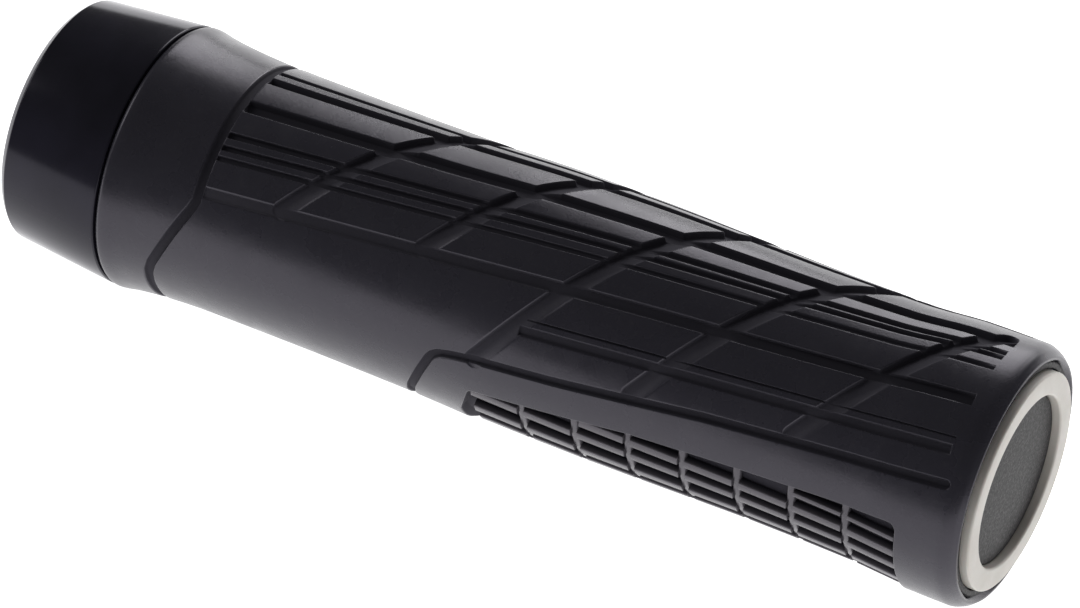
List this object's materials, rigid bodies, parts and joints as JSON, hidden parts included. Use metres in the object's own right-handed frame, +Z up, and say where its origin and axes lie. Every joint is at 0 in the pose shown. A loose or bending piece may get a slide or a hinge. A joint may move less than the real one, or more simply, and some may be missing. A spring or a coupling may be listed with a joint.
{
  "type": "bicycle handlebar grip",
  "caption": "Round clamp-on rubber grip for the right end of a bicycle bar: dark clamp collar, blocky tread with slanted grooves, ribbed finger pad and a closed end with a pale ring.",
  "frame": {"origin": "middle of the clamp collar's inboard face, on the handlebar's axis", "axes": "+X along the bar from the clamp collar to the closed outer end; +Z up; -Y towards the rider"},
  "size_m": [0.1361, 0.035, 0.035],
  "materials": {
    "collar": "black anodised, fairly glossy",
    "bolt": "dark zinc plated",
    "core": "moulded, hard",
    "rubber": "matt charcoal with a fine moulded grain",
    "cap": "fine speckled spark texture",
    "ring": "warm white, satin"
  },
  "bodies": {
    "root": {"clamp_collar": "collar", "pinch_bolt": "bolt", "core_sleeve": "core", "rubber_grip": "rubber", "end_cap": "cap", "end_ring": "ring"}
  },
  "joints": []
}
